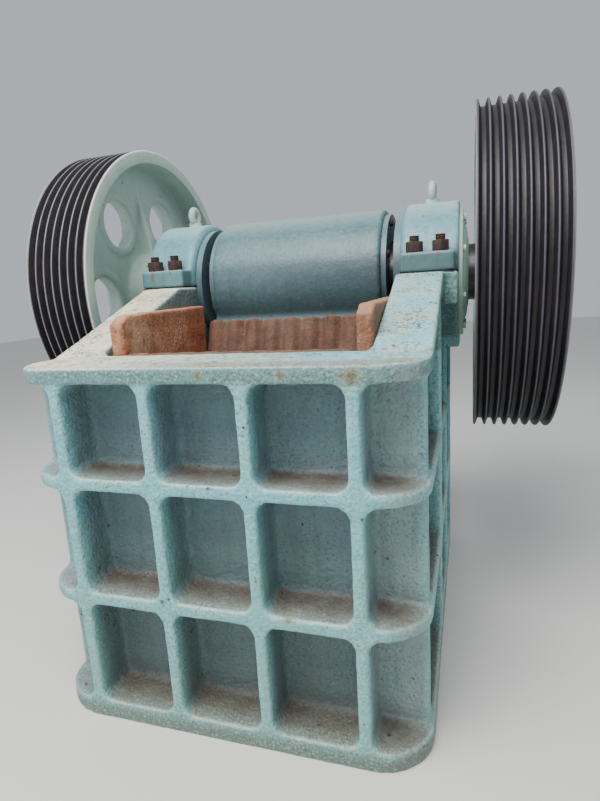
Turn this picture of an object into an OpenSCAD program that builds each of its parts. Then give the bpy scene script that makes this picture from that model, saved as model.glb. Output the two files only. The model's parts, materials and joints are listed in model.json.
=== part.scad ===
// Single-toggle jaw crusher: ribbed cast frame, two grooved flywheels, swinging jaw on an eccentric shaft.
// Millimetres, +Z up, front face towards -Y, origin on the ground under the middle of the whole machine.

/* [Crushing chamber] */
// Width of the feed mouth between the cheek plates
mouth_w = 750; // [650:10:900]
// Gap at each side of the swing jaw plate
jaw_side_gap = 10; // [6:1:20]
// Thickness of a jaw plate over its teeth
jaw_plate_t = 70; // [50:5:90]
// Height of the teeth on the jaw plates
tooth_h = 24; // [12:1:32]
// Number of teeth across a jaw plate
tooth_count = 9; // [6:1:12]
// Gap between the jaw plates at the discharge
discharge = 95; // [60:5:130]
// Angle between the two jaw plates, degrees
nip_angle = 22; // [19:0.5:24]
// Height of the lower end of the swing jaw plate above the ground
jaw_foot_z = 70; // [40:5:110]
// Length of the swing jaw plate
swing_plate_len = 1180; // [1080:10:1200]
// Thickness of the cheek plates
cheek_t = 50; // [30:5:60]
// Height of the top edge of the cheek plates
cheek_top = 1222; // [1150:2:1235]
// Height at which the upper cheek plates stand on the lower ones
cheek_split = 600; // [450:10:750]

/* [Frame] */
// Half width of the frame over its ribs and flanges
frame_half_w = 590; // [570:5:620]
// Depth of the front ribs and pockets
rib_depth = 130; // [90:5:150]
// Thickness of the ribs
rib_t = 36; // [26:2:44]
// Thickness of the front wall behind the pockets
front_wall_t = 70; // [50:5:90]
// Depth of the machined seat strips behind the fixed jaw plate
seat_strip_t = 60; // [30:5:80]
// Thickness of the side walls
side_wall_t = 50; // [40:5:60]
// Thickness of the base flange
base_t = 57; // [40:1:70]
// Thickness of the top flange
top_t = 45; // [30:1:60]
// Height of the front wall
front_h = 1099; // [1060:1:1110]
// Height of the lower horizontal rib, to its middle
low_rib_z = 408; // [340:2:440]
// Height of the upper horizontal rib, to its middle
high_rib_z = 766; // [700:2:800]
// Radius of the frame's front corners in plan
corner_r = 150; // [60:5:160]
// Radius in the corners of the cast pockets
pocket_r = 34; // [10:1:50]
// Back face of the frame, from the front face
frame_depth = 1450; // [1400:5:1500]
// Place of the second upright rib on a side wall, from the front face
side_rib_2 = 607; // [560:2:680]
// Place of the third upright rib on a side wall
side_rib_3 = 1037; // [960:2:1100]
// Distance from the front face to the foot of the sloping side flange
slope_start = 215; // [205:5:260]
// Distance from the front face to the head of the sloping side flange
slope_end = 770; // [720:5:800]
// Radius of the foundation bolt holes
anchor_r = 20; // [14:1:26]

/* [Shaft and bearings] */
// Distance of the shaft axis from the front face
shaft_y = 1166; // [1140:2:1190]
// Height of the shaft axis
shaft_z = 1294; // [1280:2:1300]
// Throw of the eccentric
throw = 12; // [8:1:16]
// Radius of the eccentric length of the shaft
eccentric_r = 135; // [120:5:140]
// Radius of the main journals
journal_r = 110; // [90:5:115]
// Radius of the shaft ends that carry the flywheels
wheel_seat_r = 95; // [80:5:100]
// Outer radius of the main bearings
bearing_r = 200; // [180:5:215]
// Outer radius of the bearing caps
cap_r = 278; // [255:1:285]
// Rounding of the inner edge of the bearing caps
cap_round = 26; // [10:1:40]
// Distance that the bearing housings stand out beyond the side ribs
cap_proud = 46; // [36:1:56]
// Half length of the cap's bolting lugs, front to back
lug_reach = 344; // [330:2:350]
// Thickness of the cap's bolting lugs
lug_t = 69; // [50:1:80]
// Radius of the cap studs
stud_r = 18; // [14:1:20]
// Radial clearance of the turning shaft in its bearings
run_gap = 0.05; // [0.02:0.01:0.09]

/* [Flywheels] */
// Radius of the flywheels
wheel_r = 615; // [560:5:620]
// Width of the flywheel rims
rim_w = 270; // [220:5:280]
// Gap between a bearing housing and the flywheel beside it
wheel_gap = 55; // [50:1:64]
// Radial thickness of the rims
rim_t = 52; // [44:1:70]
// Thickness of the flywheel webs
web_t = 50; // [30:2:60]
// Number of belt grooves
groove_count = 7; // [3:1:7]
// Distance between belt grooves
groove_pitch = 37; // [34:1:39]
// Depth of the belt grooves
groove_depth = 26; // [18:1:30]
// Radius of the round holes in the webs
web_hole_r = 100; // [60:5:110]
// Distance of the web holes from the shaft axis
web_hole_place = 360; // [340:5:380]
// Number of web holes
web_holes = 6; // [4:1:6]
// Radius of the flywheel hubs
hub_r = 165; // [140:5:180]
// Turn of the web holes while the machine stands at rest, degrees
wheel_turn = 35; // [0:1:59]

/* [Swing jaw] */
// Outer radius of the swing jaw's bearing barrel
barrel_r = 268; // [250:2:275]
// Gap between the end covers of the swing jaw and those of the frame
cover_gap = 30; // [16:2:50]
// Thickness of the casting behind the swing jaw plate
jaw_wall_t = 60; // [40:5:80]
// Thickness of the ribs behind the swing jaw
jaw_rib_t = 40; // [25:5:50]

/* [Toggle and adjustment] */
// Distance of the front toggle seat from the swing jaw face
toggle_back = 205; // [195:5:225]
// Distance of the front toggle seat from the lower end of the swing jaw
toggle_up = 360; // [330:5:400]
// Thickness of the shims behind the adjusting block
shim_pack_t = 59; // [20:1:80]
// Slope of the toggle plate, degrees
toggle_slope = 14; // [8:1:20]
// Radius of the toggle plate's round ends
toggle_r = 30; // [22:1:34]
// Thickness of the toggle plate between its ends
toggle_t = 36; // [26:2:44]
// Width of the toggle plate
toggle_w = 560; // [460:10:600]
// Front to back thickness of the adjusting block
block_t = 90; // [70:5:100]

/* [Tension rods] */
// Distance of each tension rod from the middle of the machine
rod_x = 225; // [200:5:240]
// Radius of the tension rods
rod_r = 19; // [14:1:22]
// Length of the machine to the tips of the tension rods
machine_len = 2035; // [1990:5:2060]
// Radius of the spring wire
spring_wire_r = 9; // [6:0.5:11]
// Mean radius of the spring coils
spring_r = 46; // [40:1:52]
// Number of turns in a spring
spring_turns = 8; // [5:1:10]

/* [Hidden] */
$fn = 96;

// Paint and metal colours
frame_blue = "#8FB4B2";
cap_blue = "#9CC4CC";
wheel_green = "#93B8A8";
worn_steel = "#6B5648";
rust_plate = "#7A4A33";
dark_steel = "#3E4345";
shaft_steel = "#7D7F80";

// Overrun of cuts, and gaps between pieces
eps = 1;
jaw_gap = 0.3;
bolt_gap = 1;
seal_gap = 8;

// Frame places, from the front face
side_in = mouth_w / 2 + cheek_t;
side_out = side_in + side_wall_t;
cap_w = frame_half_w + cap_proud - side_in;
wheel_x = frame_half_w + cap_proud + wheel_gap;
cover_t = 25;
outer_cover_t = 34;
cover_step = 28;
swing_cover_t = 20;
barrel_w = 2 * (side_in - cover_t - cover_gap - swing_cover_t);
wall_back = rib_depth + front_wall_t;
strip_back = wall_back + seat_strip_t;
fixed_face = strip_back + jaw_plate_t;
plate_half_w = mouth_w / 2 - jaw_side_gap;
column_share = 0.71;
column_x = frame_half_w * column_share;
columns = 3;
bay_pitch = 2 * column_x / columns;
rows = [
    [base_t, low_rib_z - rib_t / 2],
    [low_rib_z + rib_t / 2, high_rib_z - rib_t / 2],
    [high_rib_z + rib_t / 2, front_h - top_t]
];
side_bays = [
    [wall_back, side_rib_2 - rib_t / 2],
    [side_rib_2 + rib_t / 2, side_rib_3 - rib_t / 2],
    [side_rib_3 + rib_t / 2, frame_depth - rib_t]
];
edge_step = 14;
split_z = shaft_z + 6;
shim_t = 3;
housing_rim = 22;
housing_r = cap_r + housing_rim;
housing_foot = 110;
shoulder_drop = 180;
lug_in = 11;
lug_out = 12;
lug_x = side_in + lug_in;
lug_w = cap_w - lug_in - lug_out;
stud_in = 38;
stud_edge = 48.5;
stud_depth = 110;
stud_tip = 20;
nut_af = 55;
nut_h = 38;
nut_room = 3;
stud_spacing = max(lug_w - 2 * stud_edge, nut_af / cos(30) + nut_room);
hex_share = 1.9;
bearing_in = 15;
lifting_ring_r = 28;
lifting_bar_r = 15;
lifting_collar_r = 27;
shaft_step_in = 40;

// Rear wall and what it holds
rear_wall_t = 120;
rear_front = frame_depth - rear_wall_t / 2;
rear_back = frame_depth + rear_wall_t / 2;
rear_low = 200;
rear_top = 1000;
side_back_top = rear_top - 60;
guide_t = 36;
block_h = 190;
screw_x = 300;
screw_r = 26;
screw_nut_h = 40;
screw_tip = 90;

// Swing jaw places: a frame tilted with the swing jaw face, its origin at the lower end of that face
swing_y = fixed_face + discharge;
function tilt(p) = [
    swing_y + p[0] * cos(nip_angle) + p[1] * sin(nip_angle),
    jaw_foot_z - p[0] * sin(nip_angle) + p[1] * cos(nip_angle)
];
function untilt(p) = [
    (p[0] - swing_y) * cos(nip_angle) - (p[1] - jaw_foot_z) * sin(nip_angle),
    (p[0] - swing_y) * sin(nip_angle) + (p[1] - jaw_foot_z) * cos(nip_angle)
];
toggle_dir = [cos(toggle_slope), sin(toggle_slope)];
toggle_front = tilt([toggle_back, toggle_up]);
toggle_seat_t = 45;
block_back = rear_front - shim_pack_t;
block_front = block_back - block_t;
toggle_len = (block_front - toggle_seat_t - toggle_front[0]) / cos(toggle_slope);
toggle_rear = toggle_front + toggle_len * toggle_dir;
eccentric = [shaft_y, shaft_z] + throw * toggle_dir;
barrel = untilt(eccentric);
seat_r = toggle_r + throw + seal_gap;
seat_depth = 35;
seat_half = seat_r + 12;
seat_rim = 10;
boss_half = seat_half + seat_rim;
boss_in = 8;
boss_tilt = nip_angle + toggle_slope;
boss_back = toggle_r + seat_depth;
boss_front = (toggle_back - jaw_plate_t - boss_in - boss_half * sin(boss_tilt)) / cos(boss_tilt);
rear_seat_half = 60;
rear_seat_open = 9;
block_low = toggle_rear[1] - block_h / 2;

// Swing jaw casting, measured from its face and its lower end
swing_half_w = plate_half_w - 2;
jaw_back = jaw_plate_t + jaw_wall_t;
barrel_root = barrel_r * 0.6;
rib_foot = 30;
rib_waist_in = 10;
rib_waist_drop = 130;
rib_belly_out = 30;
rib_belly_rise = 160;
swing_bearing_r = bearing_r + 15;
swing_bearing_w = 150;
swing_bearing_x = barrel_w / 2 - swing_bearing_w - 10;
cover_r = barrel_r - 20;
cover_room = 4;

// Cheek plates
cheek_front = fixed_face - 40;
cheek_overlap = 60;
cheek_rear = shaft_y - cap_r - 20;
cheek_slant = [50, 28];

// Outline of one tooth and of one belt groove: share of the pitch, share of the height
tooth_shape = [[0.35, 1], [0.65, 1], [1, 0]];
groove_shape = [[-0.42, 0], [-0.2, 1], [0.2, 1], [0.42, 0]];

// Tension rods
pin_r = 20;
pin_wall = 24;
pin_tip = 8;
eye_gap = 5;
eye_r = pin_r + throw + eye_gap;
eye_wall = 22;
eye_t = 40;
rod_lug_t = 30;
rod_lug_r = pin_r + pin_wall;
rod_lug_half = rod_lug_r - 4;
rod_pin_back = 250;
rod_pin_up = 165;
rod_pin = tilt([rod_pin_back, rod_pin_up]);
rod_lug_x = eye_t / 2 + eye_gap + rod_lug_t / 2;
rod_centre = rod_pin - throw * toggle_dir;
bracket_t = 50;
bracket_low = 40;
bracket_back = frame_depth + bracket_t;
seat_plate_t = 16;
seat_plate_r = spring_r + spring_wire_r + 8;
spring_start = bracket_back + seat_plate_t;
rod_nut_h = 32;
rod_nut_gap = 2;
rod_tip = 37;
spring_end = machine_len - rod_tip - 2 * rod_nut_h - rod_nut_gap - seat_plate_t;
wire_sides = 8;
rings_a_turn = 18;

// Flywheel places
hub_set_in = 20;
hub_in = wheel_x + hub_set_in;
hub_out = wheel_x + rim_w - hub_set_in;
rim_mid = wheel_x + rim_w / 2;
rim_in_r = wheel_r - rim_t;
rim_draft = 9;
hub_half = (hub_out - hub_in) / 2;
hub_draft = 22;
hole_ring_w = 30;
hole_ring_h = 7;
fin_w = 64;
fin_h = 62;
fin_end = 495;
fin_sink = 4;
fin_step = 2;
end_plate_t = 16;
end_plate_rim = 20;

// The machine is drawn from its front face, then centred front to back
y_mid = machine_len / 2;

module place() {
    translate([0, -y_mid, 0]) children();
}

// Stretches a Y-Z outline from x0 to x1
module along_x(x0, x1) {
    translate([x0, 0, 0]) rotate([90, 0, 90]) linear_extrude(x1 - x0) children();
}

// Stretches an X-Z outline from y0 to y1
module along_y(y0, y1) {
    translate([0, y1, 0]) rotate([90, 0, 0]) linear_extrude(y1 - y0) children();
}

module both_sides() {
    children();
    mirror([1, 0, 0]) children();
}

module at_shaft() {
    translate([0, shaft_y, shaft_z]) children();
}

module at_eccentric() {
    translate([0, eccentric[0], eccentric[1]]) children();
}

// Tilted frame of the swing jaw: +Y away from its face, +Z up along it
module on_swing() {
    translate([0, swing_y, jaw_foot_z]) rotate([-nip_angle, 0, 0]) children();
}

// Frame of the toggle plate: origin at its front end, +Y towards its rear end
module on_toggle() {
    translate([0, toggle_front[0], toggle_front[1]]) rotate([toggle_slope, 0, 0]) children();
}

module x_rod(x0, x1, r) {
    translate([x0, 0, 0]) rotate([0, 90, 0]) cylinder(h = x1 - x0, r = r);
}

module y_rod(y0, y1, r) {
    translate([0, y0, 0]) rotate([-90, 0, 0]) cylinder(h = y1 - y0, r = r);
}

// Hexagon nut for a rod of radius r, with its flat face at y0
module y_nut(y0, h, r) {
    translate([0, y0, 0]) rotate([-90, 0, 0]) cylinder(h = h, r = r * hex_share, $fn = 6);
}

module rounded(x0, x1, y0, y1, r) {
    translate([x0 + r, y0]) square([x1 - x0 - 2 * r, y1 - y0]);
    translate([x0, y0 + r]) square([x1 - x0, y1 - y0 - 2 * r]);
    for (x = [x0 + r, x1 - r], y = [y0 + r, y1 - r]) translate([x, y]) circle(r);
}

// Plan of the frame's front, with its two rounded corners
module front_plan() {
    translate([-frame_half_w, corner_r]) square([2 * frame_half_w, wall_back - corner_r]);
    translate([corner_r - frame_half_w, 0]) square([2 * (frame_half_w - corner_r), corner_r + eps]);
    for (side = [-1, 1]) translate([side * (frame_half_w - corner_r), corner_r]) circle(corner_r);
}

module front_wall() {
    color(frame_blue) place() {
        difference() {
            linear_extrude(front_h) intersection() {
                front_plan();
                translate([-frame_half_w, 0]) square([2 * frame_half_w, wall_back]);
            }
            for (row = rows) {
                for (i = [0 : columns - 1]) {
                    x = -column_x + i * bay_pitch;
                    along_y(-eps, rib_depth)
                        rounded(x + rib_t / 2, x + bay_pitch - rib_t / 2, row[0], row[1], pocket_r);
                }
                both_sides() {
                    along_y(-eps, rib_depth)
                        rounded(column_x + rib_t / 2, frame_half_w + pocket_r * 2, row[0], row[1], pocket_r);
                    translate([frame_half_w - edge_step, rib_depth - eps, row[0]])
                        cube([edge_step + eps, front_wall_t + 2 * eps, row[1] - row[0]]);
                }
            }
        }
        for (x = [-bay_pitch, 0, bay_pitch])
            translate([x - rib_depth / 2, wall_back, base_t])
                cube([rib_depth, seat_strip_t, front_h - top_t - base_t]);
        translate([-side_in, wall_back, front_h - top_t]) cube([2 * side_in, seat_strip_t, top_t]);
        translate([-side_in, wall_back, 0]) cube([2 * side_in, seat_strip_t + jaw_plate_t, base_t]);
    }
}

// Height of the top of the sloping side flange
function slope_z(y) = front_h + (split_z - front_h) * (y - slope_start) / (slope_end - slope_start);

module side_outline() {
    polygon([
        [wall_back, 0], [frame_depth, 0], [frame_depth, side_back_top],
        [shaft_y + lug_reach, shaft_z - shoulder_drop], [shaft_y + lug_reach, split_z],
        [slope_end, split_z], [slope_start, front_h], [wall_back, front_h]
    ]);
}

// Top bay between two upright ribs, under the sloping flange
module top_bay(y0, y1) {
    polygon([
        [y0, high_rib_z + rib_t / 2], [y1, high_rib_z + rib_t / 2],
        [y1, min(slope_z(y1), split_z) - top_t], [y0, max(slope_z(y0), front_h) - top_t]
    ]);
}

module housing_outline() {
    difference() {
        union() {
            circle(housing_r);
            translate([-lug_reach, -housing_foot]) square([2 * lug_reach, housing_foot + split_z - shaft_z]);
        }
        translate([-housing_r, split_z - shaft_z]) square([2 * housing_r, housing_r]);
    }
}

module stud_places() {
    first = lug_x + (lug_w - stud_spacing) / 2;
    for (side = [-1, 1], x = [first, first + stud_spacing])
        translate([x, side * (lug_reach - stud_in), 0]) children();
}

module side_wall_right() {
    color(frame_blue) place() difference() {
        union() {
            along_x(side_in, side_out) side_outline();
            along_x(side_out, frame_half_w) difference() {
                side_outline();
                for (bay = side_bays) {
                    for (row = [rows[0], rows[1]]) rounded(bay[0], bay[1], row[0], row[1], pocket_r);
                    top_bay(bay[0], bay[1]);
                }
                translate([wall_back - eps, base_t]) square([pocket_r, front_h - base_t - top_t]);
            }
            at_shaft() along_x(side_in, side_in + cap_w) housing_outline();
        }
        at_shaft() x_rod(side_in - eps, side_in + cap_w + eps, bearing_r);
        at_shaft() stud_places() translate([0, 0, split_z - shaft_z - stud_depth])
            cylinder(h = stud_depth + eps, r = stud_r);
        for (bay = [side_bays[0], side_bays[2]])
            translate([(side_out + frame_half_w) / 2, (bay[0] + bay[1]) / 2, -eps])
                cylinder(h = base_t + 2 * eps, r = anchor_r);
    }
}

module side_wall_left() {
    mirror([1, 0, 0]) side_wall_right();
}

module rear_wall() {
    pitch = 2 * side_in / columns;
    height = (rear_top - rear_low) / 2;
    color(frame_blue) place() difference() {
        union() {
            translate([-side_in, rear_front, rear_low]) cube([2 * side_in, rear_wall_t, rear_top - rear_low]);
            for (z = [block_low - guide_t, block_low + block_h])
                translate([-side_in, block_front, z]) cube([2 * side_in, rear_front - block_front, guide_t]);
        }
        for (i = [0 : columns - 1], half = [0, 1])
            translate([-side_in + i * pitch, 0, rear_low + half * height])
                along_y(frame_depth, rear_back + eps)
                    rounded(rib_t / 2, pitch - rib_t / 2, rib_t / 2, height - rib_t / 2, pocket_r);
        at_screws() y_rod(rear_front - eps, rear_back + eps, screw_r + bolt_gap);
    }
}

module at_screws() {
    both_sides() translate([screw_x, 0, toggle_rear[1]]) children();
}

module adjusting_screws() {
    color(worn_steel) place() at_screws() {
        y_rod(block_back, rear_back + screw_nut_h + screw_tip, screw_r);
        y_nut(rear_back, screw_nut_h, screw_r);
    }
}

module adjusting_block() {
    color(worn_steel) place()
        translate([-side_in, block_front, block_low]) cube([2 * side_in, block_t, block_h]);
}

module adjusting_shims() {
    color(worn_steel) place() difference() {
        translate([-side_in, block_back, block_low]) cube([2 * side_in, shim_pack_t, block_h]);
        at_screws() y_rod(block_back - eps, rear_front + eps, screw_r + bolt_gap);
    }
}

module toggle_plate() {
    color(worn_steel) place() on_toggle() along_x(-toggle_w / 2, toggle_w / 2) {
        circle(toggle_r);
        translate([toggle_len, 0]) circle(toggle_r);
        translate([0, -toggle_t / 2]) square([toggle_len, toggle_t]);
    }
}

module front_toggle_seat() {
    color(dark_steel) place() on_toggle() along_x(-toggle_w / 2, toggle_w / 2) difference() {
        translate([-boss_back, -seat_half]) square([seat_depth + toggle_r / 2, 2 * seat_half]);
        translate([seat_r - toggle_r - jaw_gap, 0]) circle(seat_r);
    }
}

module rear_toggle_seat() {
    color(dark_steel) place() difference() {
        translate([-toggle_w / 2, toggle_rear[0] + rear_seat_open, toggle_rear[1] - rear_seat_half])
            cube([toggle_w, block_front - toggle_rear[0] - rear_seat_open, 2 * rear_seat_half]);
        translate([0, toggle_rear[0], toggle_rear[1]]) x_rod(-toggle_w, toggle_w, toggle_r + jaw_gap);
    }
}

// Half section of a cap's barrel, its width upwards from the inner end
module cap_section() {
    square([cap_r - cap_round, cap_w]);
    translate([0, cap_round]) square([cap_r, cap_w - cap_round]);
    translate([cap_r - cap_round, cap_round]) circle(cap_round);
}

module bearing_cap_right() {
    color(cap_blue) place() at_shaft() difference() {
        union() {
            translate([side_in, 0, 0]) rotate([0, 90, 0]) rotate_extrude() cap_section();
            translate([lug_x, -lug_reach, split_z - shaft_z]) cube([lug_w, 2 * lug_reach, lug_t + shim_t]);
        }
        x_rod(side_in - eps, side_in + cap_w + eps, bearing_r);
        translate([0, -2 * cap_r, split_z - shaft_z + shim_t - 2 * cap_r])
            cube([2 * frame_half_w, 4 * cap_r, 2 * cap_r]);
        stud_places() cylinder(h = cap_r, r = stud_r + bolt_gap);
    }
}

module bearing_cap_left() {
    mirror([1, 0, 0]) bearing_cap_right();
}

module cap_shims() {
    color(dark_steel) place() at_shaft() both_sides() difference() {
        translate([lug_x, -lug_reach, split_z - shaft_z]) cube([lug_w, 2 * lug_reach, shim_t]);
        translate([lug_x - eps, -cap_r, -cap_r]) cube([lug_w + 2 * eps, 2 * cap_r, 2 * cap_r]);
        stud_places() cylinder(h = cap_r, r = stud_r + bolt_gap);
    }
}

module cap_studs() {
    nut_z = split_z - shaft_z + shim_t + lug_t;
    color(worn_steel) place() at_shaft() both_sides() stud_places() {
        translate([0, 0, split_z - shaft_z - stud_depth])
            cylinder(h = stud_depth + shim_t + lug_t + nut_h + stud_tip, r = stud_r);
        translate([0, 0, nut_z]) cylinder(h = nut_h, r = nut_af / 2 / cos(30), $fn = 6);
    }
}

module lifting_eyes() {
    color(wheel_green) place() at_shaft() both_sides() translate([side_in + cap_w / 2, 0, 0]) {
        translate([0, 0, cap_r + lifting_ring_r + lifting_bar_r]) rotate([0, 90, 0])
            rotate_extrude() translate([lifting_ring_r, 0]) circle(lifting_bar_r);
        difference() {
            cylinder(h = cap_r + lifting_bar_r, r = lifting_collar_r);
            x_rod(-cap_w, cap_w, cap_r);
        }
    }
}

module main_bearings() {
    color(shaft_steel) place() at_shaft() both_sides() difference() {
        x_rod(side_in + bearing_in, side_in + cap_w - bearing_in, bearing_r);
        x_rod(side_in, side_in + cap_w, journal_r + run_gap);
    }
}

module cover(x0, x1, r) {
    at_shaft() difference() {
        x_rod(x0, x1, r);
        x_rod(x0 - eps, x1 + eps, journal_r + seal_gap);
    }
}

module outer_covers() {
    color(wheel_green) place() both_sides()
        cover(side_in + cap_w, side_in + cap_w + outer_cover_t, cap_r - cover_step);
}

module inner_covers() {
    color(cap_blue) place() both_sides() cover(side_in - cover_t, side_in, cap_r - cover_step);
}

// Outline of a toothed jaw plate seen from above: flat back at y = 0, teeth towards -Y
module toothed_plan() {
    pitch = 2 * plate_half_w / tooth_count;
    polygon(concat(
        [[plate_half_w, 0], [-plate_half_w, 0], [-plate_half_w, tooth_h - jaw_plate_t]],
        [for (i = [0 : tooth_count - 1], p = tooth_shape)
            [-plate_half_w + (i + p[0]) * pitch, (1 - p[1]) * tooth_h - jaw_plate_t]]
    ));
}

module fixed_jaw_plate() {
    color(rust_plate) place() translate([0, strip_back, base_t]) mirror([0, 1, 0])
        linear_extrude(front_h - base_t) toothed_plan();
}

module swing_jaw_plate() {
    color(rust_plate) place() on_swing() translate([0, jaw_plate_t, 0])
        linear_extrude(swing_plate_len) toothed_plan();
}

// Place of the swing jaw's face at a height
function swing_face_y(z) = swing_y + (z - jaw_foot_z) * tan(nip_angle);

module cheek_outline(z0, z1) {
    intersection() {
        polygon([
            [cheek_front, base_t], [swing_face_y(base_t) + cheek_overlap, base_t],
            [cheek_rear, jaw_foot_z + (cheek_rear - cheek_overlap - swing_y) / tan(nip_angle)],
            [cheek_rear, cheek_top], [cheek_front + cheek_slant[0], cheek_top],
            [cheek_front, cheek_top - cheek_slant[1]]
        ]);
        translate([0, z0]) square([frame_depth, z1 - z0]);
    }
}

module cheek_upper_right() {
    color(rust_plate) place() along_x(mouth_w / 2, side_in) cheek_outline(cheek_split, cheek_top);
}

module cheek_lower_right() {
    color(rust_plate) place() along_x(mouth_w / 2, side_in) cheek_outline(base_t, cheek_split);
}

module cheek_upper_left() {
    mirror([1, 0, 0]) cheek_upper_right();
}

module cheek_lower_left() {
    mirror([1, 0, 0]) cheek_lower_right();
}

// Side view of an upright rib behind the swing jaw, in the jaw's tilted frame
module jaw_rib_outline() {
    polygon([
        [jaw_back - eps, 0], [jaw_back + rib_foot, 0],
        [toggle_back - rib_waist_in, toggle_up - rib_waist_drop],
        [toggle_back + rib_belly_out, toggle_up + rib_belly_rise],
        [barrel[0] + barrel_root, barrel[1] - barrel_root],
        [barrel[0], barrel[1]], [jaw_back - eps, barrel[1]]
    ]);
}

module swing_jaw() {
    color(cap_blue) place() difference() {
        union() {
            at_eccentric() x_rod(-barrel_w / 2, barrel_w / 2, barrel_r);
            on_swing() {
                translate([-swing_half_w, jaw_plate_t, 0])
                    cube([2 * swing_half_w, jaw_wall_t, barrel[1] - barrel_root]);
                both_sides() for (x = [swing_half_w - jaw_rib_t, swing_half_w / 3 - jaw_rib_t / 2])
                    along_x(x, x + jaw_rib_t) jaw_rib_outline();
            }
            on_toggle() translate([-toggle_w / 2, -boss_front, -boss_half])
                cube([toggle_w, boss_front - boss_back, 2 * boss_half]);
            at_rod_pin() both_sides() for (x = [rod_x - rod_lug_x, rod_x + rod_lug_x])
                translate([x, 0, 0]) rod_lug();
        }
        at_eccentric() {
            x_rod(-barrel_w, barrel_w, swing_bearing_r);
            both_sides() x_rod(barrel_w / 2, barrel_w, cover_r + cover_room);
        }
        on_toggle() along_x(-toggle_w / 2 - eps, toggle_w / 2 + eps)
            translate([-boss_back, -seat_half]) square([3 * seat_r, 2 * seat_half]);
        at_rod_pin() x_rod(-side_in, side_in, pin_r);
    }
}

module at_rod_pin() {
    translate([0, rod_pin[0], rod_pin[1]]) children();
}

module rod_lug() {
    reach = rod_pin_back - jaw_back + eps;
    along_x(-rod_lug_t / 2, rod_lug_t / 2) {
        circle(rod_lug_r);
        rotate(-nip_angle) translate([-reach, -rod_lug_half]) square([reach, 2 * rod_lug_half]);
    }
}

module rod_pins() {
    half = rod_lug_x + rod_lug_t / 2 + pin_tip;
    color(worn_steel) place() at_rod_pin() both_sides() x_rod(rod_x - half, rod_x + half, pin_r);
}

module at_rods() {
    both_sides() translate([rod_x, 0, rod_centre[1]]) children();
}

module tension_rods() {
    color(worn_steel) place() at_rods() difference() {
        union() {
            translate([0, rod_centre[0], 0]) x_rod(-eye_t / 2, eye_t / 2, eye_r + eye_wall);
            y_rod(rod_centre[0] + eye_r, machine_len, rod_r);
        }
        translate([0, rod_centre[0], 0]) x_rod(-eye_t, eye_t, eye_r);
    }
}

module spring_bracket() {
    color(frame_blue) place() difference() {
        translate([-side_in, frame_depth, bracket_low])
            cube([2 * side_in, bracket_t, rear_low - bracket_low]);
        at_rods() y_rod(frame_depth - eps, bracket_back + eps, rod_r + seal_gap);
    }
}

// How far a spring has climbed at a share t of its wire: flat at both ends, evenly between
function coil_rise(t) = t * t * (3 - 2 * t);

// Centre of the spring wire at a share t of its length
function coil_point(t) =
    let (a = 360 * spring_turns * t, span = spring_end - spring_start - 2 * spring_wire_r - 2 * jaw_gap)
    [spring_r * cos(a), spring_start + jaw_gap + spring_wire_r + span * coil_rise(t), spring_r * sin(a)];

module springs() {
    sides = wire_sides;
    rings = spring_turns * rings_a_turn;
    points = [for (i = [0 : rings], k = [0 : sides - 1])
        let (a = 360 * spring_turns * i / rings, w = 360 * k / sides)
        coil_point(i / rings) + spring_wire_r * [cos(w) * cos(a), sin(w), cos(w) * sin(a)]];
    skin = [for (i = [0 : rings - 1], k = [0 : sides - 1])
        let (next = (k + 1) % sides)
        [i * sides + k, i * sides + next, (i + 1) * sides + next, (i + 1) * sides + k]];
    ends = [[for (k = [0 : sides - 1]) sides - 1 - k], [for (k = [0 : sides - 1]) rings * sides + k]];
    color(dark_steel) place() at_rods() polyhedron(points, concat(skin, ends));
}

module spring_seats() {
    color(worn_steel) place() at_rods() difference() {
        for (y = [bracket_back, spring_end]) y_rod(y, y + seat_plate_t, seat_plate_r);
        y_rod(bracket_back - eps, spring_end + seat_plate_t + eps, rod_r + bolt_gap);
    }
}

module rod_nuts() {
    first = spring_end + seat_plate_t;
    color(worn_steel) place() at_rods() difference() {
        for (y = [first, first + rod_nut_h + rod_nut_gap]) y_nut(y, rod_nut_h, rod_r);
        y_rod(spring_end, machine_len, rod_r);
    }
}

module eccentric_shaft() {
    color(shaft_steel) place() {
        at_eccentric() x_rod(shaft_step_in - side_in, side_in - shaft_step_in, eccentric_r);
        at_shaft() both_sides() {
            x_rod(side_in - shaft_step_in, hub_in, journal_r);
            x_rod(hub_in, hub_out, wheel_seat_r);
        }
    }
}

module shaft_end_plates() {
    color(worn_steel) place() at_shaft() both_sides()
        x_rod(hub_out, hub_out + end_plate_t, wheel_seat_r + end_plate_rim);
}

// Section of the rim with its V grooves, radius along X and width along Y
module rim_section() {
    half = rim_w / 2;
    first = -(groove_count - 1) / 2 * groove_pitch;
    polygon(concat(
        [[rim_in_r, half], [rim_in_r - rim_draft, 0], [rim_in_r, -half], [wheel_r, -half]],
        [for (i = [0 : groove_count - 1], p = groove_shape)
            [wheel_r - p[1] * groove_depth, first + (i + p[0]) * groove_pitch]],
        [[wheel_r, half]]
    ));
}

// Tapering fin, one in every second gap between web holes: highest at the hub, fading out short of the rim
module wheel_fin() {
    top = web_t / 2 + fin_h;
    tip = fin_end + eps;
    intersection() {
        linear_extrude(top)
            polygon([[0, -fin_w / 2], [hub_r, -fin_w / 2], [fin_end, 0], [hub_r, fin_w / 2], [0, fin_w / 2]]);
        translate([0, fin_w, 0]) rotate([90, 0, 0]) linear_extrude(2 * fin_w)
            polygon([[0, 0], [0, top], [hub_r, top], [tip, web_t / 2 - fin_sink], [tip, 0]]);
    }
}

// Round bar centred at each web hole, in the wheel's own frame
module hole_places(r, half_h) {
    for (i = [0 : web_holes - 1]) rotate(i * 360 / web_holes)
        translate([web_hole_place, 0, -half_h]) cylinder(h = 2 * half_h, r = r);
}

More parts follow.
